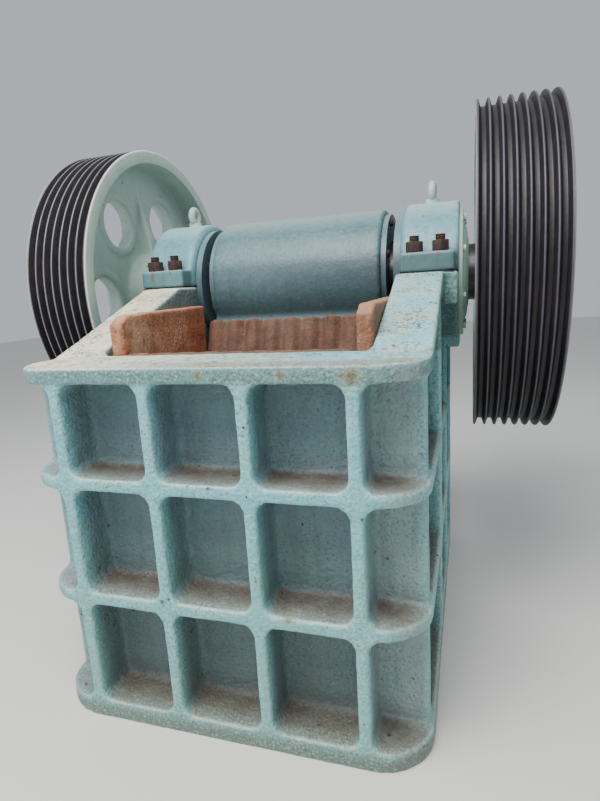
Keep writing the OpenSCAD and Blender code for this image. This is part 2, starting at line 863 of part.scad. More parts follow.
module flywheel_right() {
    color(wheel_green) place() at_shaft() translate([rim_mid, 0, 0])
        rotate([0, 90, 0]) rotate(wheel_turn) difference() {
            union() {
                rotate_extrude() rim_section();
                translate([0, 0, -web_t / 2]) cylinder(h = web_t, r = rim_in_r);
                hole_places(web_hole_r + hole_ring_w, web_t / 2 + hole_ring_h);
                for (side = [-1, 1]) scale([1, 1, side]) {
                    cylinder(h = hub_half, r1 = hub_r + hub_draft, r2 = hub_r);
                    for (i = [0 : fin_step : web_holes - 1]) rotate((i + 0.5) * 360 / web_holes) wheel_fin();
                }
            }
            translate([0, 0, -hub_half - eps]) cylinder(h = 2 * (hub_half + eps), r = wheel_seat_r);
            hole_places(web_hole_r, rim_w);
        }
}

module flywheel_left() {
    mirror([1, 0, 0]) flywheel_right();
}

module swing_bearings() {
    color(shaft_steel) place() at_eccentric() both_sides() difference() {
        x_rod(swing_bearing_x, swing_bearing_x + swing_bearing_w, swing_bearing_r);
        x_rod(0, barrel_w, eccentric_r + run_gap);
    }
}

module swing_covers() {
    color(cap_blue) place() at_eccentric() both_sides() difference() {
        x_rod(barrel_w / 2, barrel_w / 2 + swing_cover_t, cover_r);
        x_rod(0, barrel_w, eccentric_r + seal_gap);
    }
}

front_wall();
side_wall_left();
side_wall_right();
rear_wall();
spring_bracket();
bearing_cap_left();
bearing_cap_right();
cap_shims();
cap_studs();
lifting_eyes();
main_bearings();
outer_covers();
inner_covers();
fixed_jaw_plate();
cheek_upper_left();
cheek_upper_right();
cheek_lower_left();
cheek_lower_right();
toggle_plate();
rear_toggle_seat();
adjusting_block();
adjusting_shims();
adjusting_screws();
tension_rods();
springs();
spring_seats();
rod_nuts();
eccentric_shaft();
flywheel_left();
flywheel_right();
shaft_end_plates();
swing_jaw();
swing_bearings();
swing_covers();
swing_jaw_plate();
front_toggle_seat();
rod_pins();
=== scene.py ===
"""Single-toggle jaw crusher: chalky aqua enamel on rough castings, rusted plates, greasy belt grooves."""
import json
import math

import bmesh
import bpy
from mathutils import Matrix, Vector


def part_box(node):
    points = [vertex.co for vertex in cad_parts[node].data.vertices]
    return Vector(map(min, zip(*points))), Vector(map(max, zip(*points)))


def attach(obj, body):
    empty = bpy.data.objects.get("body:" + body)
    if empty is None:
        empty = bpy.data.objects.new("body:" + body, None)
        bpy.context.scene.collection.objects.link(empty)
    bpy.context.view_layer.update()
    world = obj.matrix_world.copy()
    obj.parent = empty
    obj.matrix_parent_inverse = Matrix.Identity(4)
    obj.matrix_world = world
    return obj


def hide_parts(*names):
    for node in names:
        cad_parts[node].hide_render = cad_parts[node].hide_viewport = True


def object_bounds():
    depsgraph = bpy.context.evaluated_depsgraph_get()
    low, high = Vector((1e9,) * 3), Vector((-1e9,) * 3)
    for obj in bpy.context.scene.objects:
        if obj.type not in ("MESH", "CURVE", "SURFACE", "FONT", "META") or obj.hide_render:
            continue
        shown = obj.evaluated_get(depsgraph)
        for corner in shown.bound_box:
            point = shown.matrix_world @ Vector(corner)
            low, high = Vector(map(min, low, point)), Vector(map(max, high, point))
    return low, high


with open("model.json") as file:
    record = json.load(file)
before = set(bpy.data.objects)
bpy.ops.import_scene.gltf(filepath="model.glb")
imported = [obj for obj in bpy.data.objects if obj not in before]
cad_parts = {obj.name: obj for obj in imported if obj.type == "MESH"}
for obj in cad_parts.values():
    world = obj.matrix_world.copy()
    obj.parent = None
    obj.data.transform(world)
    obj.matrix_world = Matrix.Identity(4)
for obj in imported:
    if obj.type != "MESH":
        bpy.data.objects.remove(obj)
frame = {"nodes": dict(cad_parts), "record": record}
cad_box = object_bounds()
nodes = frame["nodes"]

MM = 0.001
FRONT = cad_box[0].y
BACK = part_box("side_wall_right")[1].y
HALF_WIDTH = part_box("front_wall")[1].x
FLANGE_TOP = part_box("front_wall")[1].z
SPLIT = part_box("cap_shims")[0].z
SHAFT = (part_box("flywheel_right")[0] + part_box("flywheel_right")[1]) / 2
SHAFT.x = 0
WHEEL_RADIUS = (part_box("flywheel_right")[1].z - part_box("flywheel_right")[0].z) / 2

# Tops of the level ribs, and the middle of the outermost upright rib
FLOORS = (57 * MM, 426 * MM, 784 * MM)
CORNER_RIB = 419 * MM

# Rust stains and bare chips on the front of the frame: across and up in metres, radius in millimetres
STAINS = ((0.030, 1.078, 14), (0.250, 1.078, 18), (0.418, 1.070, 30), (0.226, 0.427, 20))
CHIPS = ((-0.150, 0.430, 7), (-0.128, 0.441, 5), (0.433, 0.724, 6), (-0.030, 0.783, 5), (0.030, 0.781, 6))
# Rust that has run down the caps: its middle, and radius in millimetres
RUST_RUNS = (((-0.573, -0.196, 1.350), 9), ((-0.490, -0.196, 1.362), 5), ((0.570, -0.196, 1.362), 5),
             ((0.636, 0.05, 1.540), 16), ((0.478, -0.196, 1.358), 4))
# Sandy patches on the left cheek plate, with their radius in millimetres, and its patch of pale flecks
SANDY = (((-0.375, -0.64, 1.13), 90), ((-0.375, -0.50, 1.08), 70))
FLECKED = (-0.375, -0.377, 1.136)
FLECKED_RADIUS = 65


def paint_hex(code):
    """An sRGB hex colour as the linear values that a shader socket takes."""
    channels = [int(code[i:i + 2], 16) / 255 for i in (1, 3, 5)]
    linear = [c / 12.92 if c <= 0.04045 else ((c + 0.055) / 1.055) ** 2.4 for c in channels]
    return (*linear, 1.0)


def add(tree, kind, links=None, out=0, **settings):
    """Adds a node with its settings, fills its inputs with values or other outputs, and gives its output."""
    made = tree.nodes.new(kind)
    for name, value in settings.items():
        setattr(made, name, value)
    for name, value in (links or {}).items():
        if isinstance(value, bpy.types.NodeSocket):
            tree.links.new(value, made.inputs[name])
        else:
            made.inputs[name].default_value = paint_hex(value) if isinstance(value, str) else value
    return made.outputs[out]


def blank(name, roughness, metallic=0.0):
    """A new material, with its node tree, its shader and the place of the surface in the machine's frame."""
    made = bpy.data.materials.new(name)
    made.use_nodes = True
    tree = made.node_tree
    shader = tree.nodes["Principled BSDF"]
    shader.inputs["Roughness"].default_value = roughness
    shader.inputs["Metallic"].default_value = metallic
    where = add(tree, "ShaderNodeTexCoord", out="Object")
    return made, tree, shader, where


def blotches(tree, where, size_mm, low, high, detail=4.0, rough=0.6):
    """Cloudy patches of about size_mm, 0 below one level of the noise and 1 above the other."""
    cloud = add(tree, "ShaderNodeTexNoise",
                {"Vector": where, "Scale": 1 / (size_mm * MM), "Detail": detail, "Roughness": rough})
    return add(tree, "ShaderNodeMapRange", {"Value": cloud, "From Min": low, "From Max": high})


def coats(tree, colour, *layers):
    """Colours laid one over another. Each layer is where it lies, how strongly, and its colour."""
    for mask, strength, over in layers:
        share = add(tree, "ShaderNodeMath", {0: mask, 1: strength}, operation="MULTIPLY")
        colour = add(tree, "ShaderNodeMix", {0: share, 6: colour, 7: over}, out=2, data_type="RGBA")
    return colour


def where_all(tree, first, *masks):
    """Where every one of the masks holds."""
    for mask in masks:
        first = add(tree, "ShaderNodeMath", {0: first, 1: mask}, operation="MULTIPLY")
    return first


def relief(tree, shader, *layers):
    """Bump laid coarse to fine. Each layer is a height and its depth in millimetres."""
    normal = None
    for height, depth in layers:
        links = {"Height": height, "Distance": depth * MM}
        if normal is not None:
            links["Normal"] = normal
        normal = add(tree, "ShaderNodeBump", links)
    tree.links.new(normal, shader.inputs["Normal"])


def sand_relief(tree, shader, where, depth=1.0):
    """The skin of a sand casting under thick enamel: slow swells, thumb-sized lumps, and grit.

    The grit is drawn coarser than real sand, so that it shows.
    """
    swell = add(tree, "ShaderNodeTexNoise", {"Vector": where, "Scale": 1 / (90 * MM), "Detail": 2.0})
    lumps = add(tree, "ShaderNodeTexNoise", {"Vector": where, "Scale": 1 / (26 * MM), "Detail": 3.0})
    grit = add(tree, "ShaderNodeTexNoise", {"Vector": where, "Scale": 1 / (10 * MM), "Detail": 3.0})
    relief(tree, shader, (swell, 7.0 * depth), (lumps, 5.0 * depth), (grit, 4.5 * depth))


def spot(tree, where, at, radius_mm, squeeze=1.0):
    """A ragged patch about a point. A squeeze below 1 makes it run upwards and downwards."""
    radius = radius_mm * MM
    gap = add(tree, "ShaderNodeVectorMath", {0: where, 1: at}, operation="SUBTRACT")
    gap = add(tree, "ShaderNodeVectorMath", {0: gap, 1: (1.0, 1.0, squeeze)}, operation="MULTIPLY")
    gap = add(tree, "ShaderNodeVectorMath", {0: gap}, out="Value", operation="LENGTH")
    # The noise is about a half, so the edge strays round three quarters of the radius
    rough = add(tree, "ShaderNodeTexNoise", {"Vector": where, "Scale": 2.5 / radius, "Detail": 6.0})
    reach = add(tree, "ShaderNodeMath", {0: rough, 1: 3 * radius, 2: gap}, operation="MULTIPLY_ADD")
    return add(tree, "ShaderNodeMapRange",
               {"Value": reach, "From Min": 2.7 * radius, "From Max": 1.8 * radius})


def frame_enamel():
    """Aqua enamel brushed on sand-cast steel.

    Level tops are chalked pale, pockets hold dirt, painted shade and brown dust, and the thick paint is full
    of pinholes, dark grit and chips down to rust.
    """
    made, tree, shader, where = blank("sand_cast_steel_aqua_enamel", roughness=0.55)
    place = add(tree, "ShaderNodeSeparateXYZ", {"Vector": where}).node.outputs
    geometry = add(tree, "ShaderNodeNewGeometry").node.outputs
    faces = add(tree, "ShaderNodeSeparateXYZ", {"Vector": geometry["Normal"]}).node.outputs
    from_front = add(tree, "ShaderNodeMath", {0: place["Y"], 1: FRONT}, operation="SUBTRACT")
    from_back = add(tree, "ShaderNodeMath", {0: BACK, 1: place["Y"]}, operation="SUBTRACT")
    across = add(tree, "ShaderNodeMath", {0: place["X"]}, operation="ABSOLUTE")
    from_side = add(tree, "ShaderNodeMath", {0: HALF_WIDTH, 1: across}, operation="SUBTRACT")
    depth = add(tree, "ShaderNodeMath", {0: from_front, 1: from_side}, operation="MINIMUM")
    depth = add(tree, "ShaderNodeMath", {0: depth, 1: from_back}, operation="MINIMUM")
    fine = add(tree, "ShaderNodeTexNoise",
               {"Vector": where, "Scale": 1 / (8 * MM), "Detail": 3.0, "Roughness": 0.65})
    chip_cloud = add(tree, "ShaderNodeTexNoise", {"Vector": where, "Scale": 1 / (26 * MM), "Detail": 5.0})

    # What each is measured by, and where it goes from none to all
    limits = {
        "level": (faces["Z"], 0.45, 0.9),
        "near_top": (place["Z"], FLANGE_TOP - 40 * MM, FLANGE_TOP - 15 * MM),
        "top_band": (place["Z"], FLANGE_TOP - 52 * MM, FLANGE_TOP - 40 * MM),
        "low_down": (place["Z"], 0.75, 0.0),
        "foot": (place["Z"], 0.07, 0.03),
        "left": (place["X"], 0.3, -0.5),
        "right": (place["X"], -0.25, 0.0),
        "sheltered": (place["X"], -0.5, -0.46),
        "past_corner_rib": (across, CORNER_RIB, CORNER_RIB + 60 * MM),
        "front_half": (from_front, 180 * MM, 120 * MM),
        "front_strip": (from_front, 120 * MM, 60 * MM),
        "sunk": (depth, 3 * MM, 60 * MM),
        "well_in": (depth, 22 * MM, 110 * MM),
        "at_edge": (depth, 15 * MM, 4 * MM),
        "sharp": (geometry["Pointiness"], 0.515, 0.56),
        "grit": (fine, 0.55, 0.63),
        "pale_specks": (fine, 0.45, 0.38),
        "worn_thin": (chip_cloud, 0.64, 0.7),
        "bare": (chip_cloud, 0.705, 0.715),
    }
    part = {name: add(tree, "ShaderNodeMapRange", {"Value": value, "From Min": none, "From Max": full})
            for name, (value, none, full) in limits.items()}

    open_top = where_all(tree, part["level"], part["near_top"])
    closed = add(tree, "ShaderNodeMath", {0: 1.0, 1: open_top}, operation="SUBTRACT")
    pocket = where_all(tree, part["sunk"], closed)
    exposed = add(tree, "ShaderNodeMath", {0: 1.0, 1: pocket}, operation="SUBTRACT")
    corner = where_all(tree, pocket, part["past_corner_rib"], part["front_half"])
    floor = where_all(tree, part["level"], closed, part["sheltered"])
    back_floor = where_all(tree, floor, part["well_in"])
    lip = where_all(tree, part["level"], closed, part["at_edge"])
    band = where_all(tree, part["top_band"], closed)
    top_front = where_all(tree, open_top, part["front_strip"], part["right"])

    settled = None
    for rib_top in FLOORS:
        above = add(tree, "ShaderNodeMapRange",
                    {"Value": place["Z"], "From Min": rib_top + 75 * MM, "From Max": rib_top + 5 * MM})
        not_below = add(tree, "ShaderNodeMapRange",
                        {"Value": place["Z"], "From Min": rib_top - 12 * MM, "From Max": rib_top})
        here = where_all(tree, above, not_below)
        if settled is not None:
            here = add(tree, "ShaderNodeMath", {0: settled, 1: here}, operation="MAXIMUM")
        settled = here
    climbing = where_all(tree, settled, pocket, blotches(tree, where, 70, 0.3, 0.6, detail=9.0, rough=0.75))
    dusty = blotches(tree, where, 60, 0.38, 0.6, detail=9.0, rough=0.75)
    drip = add(tree, "ShaderNodeMapping", {"Vector": where, "Scale": (1.0, 1.0, 0.12)})
    streaks = blotches(tree, drip, 40, 0.48, 0.68, detail=8.0)
    stroke = add(tree, "ShaderNodeMapping", {"Vector": where, "Scale": (0.2, 1.0, 1.0)})
    strokes = blotches(tree, stroke, 16, 0.42, 0.7, detail=6.0)
    nicks = where_all(tree, open_top, blotches(tree, where, 110, 0.47, 0.55),
                      blotches(tree, where, 13, 0.53, 0.57, detail=5.0, rough=0.7))

    layers = [
        # Uneven coats of the enamel itself
        (blotches(tree, where, 240, 0.35, 0.65), 0.6, "#7CBAC8"),
        (blotches(tree, where, 75, 0.48, 0.7, detail=6.0), 0.45, "#80BCA0"),
        (blotches(tree, where, 50, 0.52, 0.72, detail=6.0), 0.4, "#93AEC0"),
        (blotches(tree, where, 16, 0.42, 0.7, detail=6.0, rough=0.75), 0.4, "#A6CFC8"),
        (part["low_down"], 0.4, "#7C9A84"),
        (band, 0.75, "#587371"),
        # Dirt and painted shade in the pockets, darker still low down and lighter in the open corner bays,
        # with brush strokes and rain streaks through it
        (pocket, 0.62, "#665F66"),
        (where_all(tree, pocket, part["low_down"]), 0.5, "#454A44"),
        (corner, 0.9, "#97ADAC"),
        (where_all(tree, strokes, pocket), 0.3, "#6E8287"),
        (where_all(tree, streaks, pocket), 0.25, "#434D4A"),
        (where_all(tree, streaks, closed), 0.14, "#66807C"),
        # Brown dust on the level ribs, climbing the walls behind them
        (climbing, 0.4, "#6E625C"),
        (floor, 0.6, "#7B7C71"),
        (back_floor, 0.65, "#5A5049"),
        (where_all(tree, back_floor, dusty), 0.7, "#4A3A31"),
        (where_all(tree, floor, dusty), 0.35, "#6A5B4A"),
        # A painted highlight along the front lips of the level ribs
        (lip, 0.6, "#D6E0D8"),
        (part["foot"], 0.8, "#5F6A5A"),
        # The open top: chalked, cream to the left, stained and nicked
        (open_top, 0.75, "#84C2D0"),
        (where_all(tree, open_top, part["left"]), 0.9, "#F3E6C6"),
        (where_all(tree, open_top, blotches(tree, where, 170, 0.46, 0.6, detail=5.0)), 0.45, "#B9B58C"),
        (where_all(tree, open_top, blotches(tree, where, 75, 0.5, 0.62, detail=9.0, rough=0.8)), 0.6,
         "#767C6C"),
        (where_all(tree, open_top, blotches(tree, where, 28, 0.54, 0.66, detail=9.0, rough=0.8)), 0.5,
         "#6C7468"),
        (top_front, 0.7, "#8A7C66"),
        (nicks, 0.75, "#343B3C"),
        # Wear and a painted highlight on the edges, specks and grit, and paint worn thin or chipped off
        (part["sharp"], 0.35, "#B4D6D4"),
        (where_all(tree, part["pale_specks"], exposed), 0.3, "#C6DEDA"),
        (part["pale_specks"], 0.08, "#B4C8C6"),
        (part["grit"], 0.26, "#42575A"),
        (where_all(tree, part["grit"], blotches(tree, where, 120, 0.42, 0.6)), 0.4, "#3C4648"),
        (part["worn_thin"], 0.35, "#8B7450"),
        (part["bare"], 0.9, "#332B27"),
    ]
    for x, z, radius in STAINS:
        layers.append((spot(tree, where, (x, FRONT, z), radius), 0.6, "#978A52"))
        layers.append((spot(tree, where, (x, FRONT, z), radius * 0.5), 0.75, "#54452C"))
    for x, z, radius in CHIPS:
        layers.append((spot(tree, where, (x, FRONT, z), radius), 0.95, "#2A2725"))
    tree.links.new(coats(tree, "#6CBCC0", *layers), shader.inputs["Base Color"])
    sand_relief(tree, shader, where)
    return made


def machine_enamel(name, fresh, faded, grime_and_shade, top):
    """Light enamel on the cast caps, covers and swing jaw.

    It is smoother than the frame's, chalked on top and painted lighter there as if lit from above, with
    dirty drips, darker low down by the split, painted shade on the undersides and on the right low down, and
    a few chips.
    """
    made, tree, shader, where = blank(name, roughness=0.45)
    place = add(tree, "ShaderNodeSeparateXYZ", {"Vector": where}).node.outputs
    normal = add(tree, "ShaderNodeNewGeometry", out="Normal")
    up = add(tree, "ShaderNodeSeparateXYZ", {"Vector": normal}, out="Z")
    chalk_and_light_from_above = add(tree, "ShaderNodeMapRange", {"Value": up, "From Min": 0.72, "From Max": 1.0})
    under = add(tree, "ShaderNodeMapRange", {"Value": up, "From Min": 0.3, "From Max": -0.5})
    low = add(tree, "ShaderNodeMapRange",
              {"Value": place["Z"], "From Min": SPLIT + 90 * MM, "From Max": SPLIT + 60 * MM})
    to_right = add(tree, "ShaderNodeMapRange", {"Value": place["X"], "From Min": -0.2, "From Max": 0.4})
    drip = add(tree, "ShaderNodeMapping", {"Vector": where, "Scale": (1.0, 1.0, 0.12)})
    chip_cloud = add(tree, "ShaderNodeTexNoise", {"Vector": where, "Scale": 1 / (20 * MM), "Detail": 4.0})
    halo = add(tree, "ShaderNodeMapRange", {"Value": chip_cloud, "From Min": 0.66, "From Max": 0.71})
    chip = add(tree, "ShaderNodeMapRange", {"Value": chip_cloud, "From Min": 0.72, "From Max": 0.73})
    colour = coats(
        tree, fresh,
        (blotches(tree, where, 160, 0.35, 0.65), 0.7, faded),
        (blotches(tree, where, 14, 0.45, 0.72, detail=6.0, rough=0.75), 0.25, top),
        (blotches(tree, drip, 24, 0.5, 0.7, detail=6.0), 0.35, grime_and_shade),
        # Darker low down by the split line; painted shade on the right of it and on the faces that look down
        (low, 0.3, grime_and_shade),
        (where_all(tree, low, to_right), 0.6, grime_and_shade),
        (under, 0.4, grime_and_shade),
        # Chalked paint and a painted light from above on the faces that look up
        (chalk_and_light_from_above, 0.65, top),
        (blotches(tree, where, 6, 0.6, 0.66, detail=3.0), 0.35, grime_and_shade),
        (halo, 0.4, "#8A7355"),
        (chip, 0.85, "#3A2F28"),
        *[(spot(tree, where, at, radius, 0.4), 0.75, "#7A4A30") for at, radius in RUST_RUNS],
    )
    tree.links.new(colour, shader.inputs["Base Color"])
    sand_relief(tree, shader, where, 0.2)
    return made


def wheel_enamel():
    """Pale grey-green enamel on cast iron webs and rings, with painted shade in the corners and worn at the
    edges.
    """
    made, tree, shader, where = blank("cast_iron_pale_green_enamel", roughness=0.55)
    edge = add(tree, "ShaderNodeNewGeometry", out="Pointiness")
    worn = add(tree, "ShaderNodeMapRange", {"Value": edge, "From Min": 0.52, "From Max": 0.57})
    crevice_shade = add(tree, "ShaderNodeMapRange", {"Value": edge, "From Min": 0.49, "From Max": 0.44})
    chip_cloud = add(tree, "ShaderNodeTexNoise", {"Vector": where, "Scale": 1 / (20 * MM), "Detail": 4.0})
    halo = add(tree, "ShaderNodeMapRange", {"Value": chip_cloud, "From Min": 0.66, "From Max": 0.71})
    chip = add(tree, "ShaderNodeMapRange", {"Value": chip_cloud, "From Min": 0.72, "From Max": 0.73})
    colour = coats(
        tree, "#A3BCB1",
        (blotches(tree, where, 190, 0.35, 0.65), 0.8, "#AFBFB9"),
        (blotches(tree, where, 70, 0.5, 0.7, detail=6.0), 0.35, "#8A9A98"),
        (blotches(tree, where, 16, 0.45, 0.72, detail=6.0, rough=0.75), 0.3, "#ABC6BA"),
        # Painted shade in the hollows
        (crevice_shade, 0.5, "#66746F"),
        (worn, 0.45, "#C3D6CA"),
        (blotches(tree, where, 7, 0.6, 0.66, detail=3.0), 0.3, "#596C67"),
        (halo, 0.35, "#8A7355"),
        (chip, 0.85, "#3A2F28"),
    )
    tree.links.new(colour, shader.inputs["Base Color"])
    sand_relief(tree, shader, where, 0.3)
    return made


def greased_rim(side, edge, crests):
    """Bare cast iron belt grooves, black with grease and belt dust, with a painted highlight on their thin
    crests.

    The ring's faces and inside keep the wheel's pale green, up to the outer corner: a painted highlight on
    the left wheel, rust on the right.
    """
    made, tree, shader, where = blank(f"cast_iron_rim_{side}_greased", roughness=0.5)
    centre = (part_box(f"flywheel_{side}")[0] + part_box(f"flywheel_{side}")[1]) / 2
    half = (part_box(f"flywheel_{side}")[1].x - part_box(f"flywheel_{side}")[0].x) / 2
    from_middle = add(tree, "ShaderNodeVectorMath", {0: where, 1: centre}, operation="SUBTRACT")
    spoke = add(tree, "ShaderNodeVectorMath", {0: from_middle, 1: (0.0, 1.0, 1.0)}, operation="MULTIPLY")
    out = add(tree, "ShaderNodeVectorMath", {0: spoke}, out="Value", operation="LENGTH")
    aside = add(tree, "ShaderNodeSeparateXYZ", {"Vector": from_middle}, out="X")
    aside = add(tree, "ShaderNodeMath", {0: aside}, operation="ABSOLUTE")

    # What each is measured by, and where it goes from none to all
    limits = {
        "crest": (out, WHEEL_RADIUS - 2.2 * MM, WHEEL_RADIUS - 0.4 * MM),
        "root": (out, WHEEL_RADIUS - 20 * MM, WHEEL_RADIUS - 25 * MM),
        "inside": (out, WHEEL_RADIUS - 44 * MM, WHEEL_RADIUS - 46 * MM),
        "corner": (out, WHEEL_RADIUS - 9 * MM, WHEEL_RADIUS - 4 * MM),
        "face": (aside, half - 3.5 * MM, half - 2.0 * MM),
    }
    part = {name: add(tree, "ShaderNodeMapRange", {"Value": value, "From Min": none, "From Max": full})
            for name, (value, none, full) in limits.items()}
    painted = add(tree, "ShaderNodeMath", {0: part["face"], 1: part["inside"]}, operation="MAXIMUM")
    colour = coats(
        tree, "#1A181D",
        (blotches(tree, where, 40, 0.4, 0.65, detail=7.0), 0.5, "#2A2930"),
        (blotches(tree, where, 120, 0.5, 0.7), 0.3, "#3A2C28"),
        (part["root"], 0.3, "#141416"),
        # A painted highlight along the crests of the grooves
        (part["crest"], 0.6, crests),
        (where_all(tree, part["crest"], blotches(tree, where, 150, 0.35, 0.6)), 0.5, crests),
        (painted, 1.0, "#A6BDB2"),
        (where_all(tree, painted, blotches(tree, where, 60, 0.48, 0.66, detail=7.0)), 0.4, "#8B9C95"),
        (where_all(tree, painted, blotches(tree, where, 9, 0.6, 0.68, detail=4.0)), 0.4, "#5A4A40"),
        # The outer corner: a painted highlight on the left wheel, rust on the right
        (where_all(tree, part["face"], part["corner"]), 0.8, edge),
    )
    tree.links.new(colour, shader.inputs["Base Color"])
    caked = blotches(tree, where, 14, 0.2, 0.8)
    grainy = blotches(tree, where, 4, 0.2, 0.8)
    relief(tree, shader, (caked, 0.6), (grainy, 0.3))
    return made


def rusted_manganese(name, scale, bloom, dust):
    """Cast manganese steel left bare: red-brown scale, dust ground into it, and a patch of pale flecks."""
    made, tree, shader, where = blank(name, roughness=0.85)
    place = add(tree, "ShaderNodeSeparateXYZ", {"Vector": where}).node.outputs
    normal = add(tree, "ShaderNodeNewGeometry", out="Normal")
    up = add(tree, "ShaderNodeSeparateXYZ", {"Vector": normal}, out="Z")
    level = add(tree, "ShaderNodeMapRange", {"Value": up, "From Min": 0.4, "From Max": 0.9})
    above_flange = add(tree, "ShaderNodeMapRange",
                       {"Value": place["Z"], "From Min": 1.15, "From Max": 1.2})
    right_cheek = add(tree, "ShaderNodeMapRange",
                      {"Value": place["X"], "From Min": 0.365, "From Max": 0.374})
    ground_in = blotches(tree, where, 45, 0.36, 0.56, detail=9.0, rough=0.8)
    fleck = blotches(tree, where, 11, 0.47, 0.53, detail=2.0)
    sandy = [spot(tree, where, at, radius) for at, radius in SANDY]
    colour = coats(
        tree, scale,
        (blotches(tree, where, 90, 0.35, 0.62, detail=8.0, rough=0.7), 0.8, bloom),
        (above_flange, 0.35, "#7A3A28"),
        (blotches(tree, where, 170, 0.44, 0.6, detail=9.0, rough=0.7), 0.5, dust),
        (where_all(tree, right_cheek, ground_in), 0.65, "#6E6152"),
        (sandy[0], 0.7, "#CDB08F"),
        (sandy[1], 0.65, "#D0A67C"),
        (blotches(tree, where, 40, 0.5, 0.66, detail=9.0, rough=0.75), 0.5, "#54342F"),
        (level, 0.3, dust),
        (blotches(tree, where, 8, 0.54, 0.64, detail=4.0), 0.45, "#3B2722"),
        (blotches(tree, where, 13, 0.52, 0.7, detail=6.0), 0.25, dust),
        (where_all(tree, spot(tree, where, FLECKED, FLECKED_RADIUS), fleck), 0.65, "#E0B6A0"),
    )
    tree.links.new(colour, shader.inputs["Base Color"])
    pits = blotches(tree, where, 9, 0.3, 0.7, detail=5.0)
    relief(tree, shader, (blotches(tree, where, 60, 0.2, 0.8), 2.0), (pits, 1.6))
    return made


def rusted_forging():
    """Forged nuts, studs and rods with an even coat of dark rust, a little orange where rain lies."""
    made, tree, shader, where = blank("forged_steel_dark_rust", roughness=0.8)
    colour = coats(
        tree, "#2E211D",
        (blotches(tree, where, 26, 0.4, 0.65, detail=6.0), 0.7, "#4E3327"),
        (blotches(tree, where, 11, 0.57, 0.7, detail=5.0), 0.6, "#7E4A2B"),
        (blotches(tree, where, 20, 0.54, 0.66, detail=4.0), 0.7, "#29211F"),
    )
    tree.links.new(colour, shader.inputs["Base Color"])
    relief(tree, shader, (blotches(tree, where, 8, 0.2, 0.8, detail=5.0), 0.8))
    return made


def dark_iron(name, base, worn, roughness, metallic):
    """Machined steel and iron kept black by oil, with lighter rubbed patches."""
    made, tree, shader, where = blank(name, roughness, metallic)
    colour = coats(
        tree, base,
        (blotches(tree, where, 45, 0.42, 0.68, detail=6.0), 0.7, worn),
        (blotches(tree, where, 25, 0.58, 0.7, detail=6.0), 0.5, "#5A3E30"),
    )
    tree.links.new(colour, shader.inputs["Base Color"])
    relief(tree, shader, (blotches(tree, where, 5, 0.2, 0.8), 0.4))
    return made


aqua = frame_enamel()
light_blue = machine_enamel("cast_steel_light_blue_enamel", "#578D98", "#679AA1", "#4A5B5B", "#B9CDCB")
# The swing jaw's blue enamel, painted darker as if in shade
blue_in_painted_shade = machine_enamel("cast_steel_blue_enamel_in_painted_shade", "#45666F", "#527479", "#354345", "#9EB0AE")
# The covers' enamel, painted darker and greyer as if in shade
grey_blue_in_painted_shade = machine_enamel("cast_steel_grey_blue_enamel_in_painted_shade", "#4F6D76", "#5D7B83", "#354448", "#8A9EA1")
pale_green = wheel_enamel()
manganese = rusted_manganese("manganese_steel_cast_and_rusted", "#9E5C40", "#BA7149", "#CBA17A")
# The jaw plates' rust, painted darker as if in shade deep in the mouth
manganese_in_painted_shade = rusted_manganese("manganese_steel_rust_in_painted_shade", "#4E362C", "#6B4533", "#7E6753")
dark_rust = rusted_forging()
black_iron = dark_iron("cast_iron_oxidised_black", "#242528", "#45444A", roughness=0.55, metallic=0.2)
greased_steel = dark_iron("turned_steel_greased", "#4A4B50", "#6E6F72", roughness=0.4, metallic=0.8)

FINISH = {
    "frame_paint": aqua, "cap_paint": light_blue, "wheel_paint": pale_green, "jaw_steel": manganese,
    "fastener_steel": dark_rust, "dark_steel": black_iron, "shaft_steel": greased_steel,
}

for row in frame["record"]["subparts"]:
    mesh = nodes[row["node"]].data
    mesh.materials.clear()
    mesh.materials.append(FINISH[row["material_slot"]])
for node in ("swing_covers", "inner_covers"):
    nodes[node].data.materials[0] = grey_blue_in_painted_shade


def keep(bm, name):
    """Puts a bmesh into the scene as an object of its own."""
    mesh = bpy.data.meshes.new(name)
    bm.to_mesh(mesh)
    bm.free()
    made = bpy.data.objects.new(name, mesh)
    bpy.context.scene.collection.objects.link(made)
    return made


def piece(bm, name, finish, body="frame", crease=None):
    """A finished piece of one material that rides a body. Edges sharper than crease degrees stay sharp."""
    made = keep(bm, name)
    made.data.materials.append(finish)
    made.data.shade_smooth()
    if crease is not None:
        made.data.set_sharp_from_angle(angle=math.radians(crease))
    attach(made, body)
    return made


def with_modifiers(bm, *steps):
    """The bmesh after a row of modifiers, each its kind and its settings."""
    made = keep(bm, "blank")
    for kind, settings in steps:
        step = made.modifiers.new(kind, kind)
        for name, value in settings.items():
            setattr(step, name, value)
    done = bmesh.new()
    done.from_object(made, bpy.context.evaluated_depsgraph_get())
    for vert in done.verts:
        vert.co = [min(max(here, low), high) for here, low, high in zip(vert.co, *cad_box)]
    mesh = made.data
    bpy.data.objects.remove(made)
    bpy.data.meshes.remove(mesh)
    return done


def welded(node):
    """A CAD node's mesh with its loose triangles merged."""
    bm = bmesh.new()
    bm.from_mesh(nodes[node].data)
    bmesh.ops.remove_doubles(bm, verts=bm.verts, dist=0.01 * MM)
    return bm


def joined(*shells):
    """Several shells in one bmesh."""
    whole = bmesh.new()
    for shell in shells:
        mesh = bpy.data.meshes.new("shell")
        shell.to_mesh(mesh)
        shell.free()
        whole.from_mesh(mesh)
        bpy.data.meshes.remove(mesh)
    return whole


# The mould's wall swells slowly, and its sand wears in smaller patches
sand_swell = bpy.data.textures.new("sand_swell", "CLOUDS")
sand_swell.noise_scale = 0.16
sand_swell.noise_depth = 2
mould_wear = bpy.data.textures.new("mould_wear", "CLOUDS")
mould_wear.noise_scale = 0.035
mould_wear.noise_depth = 2

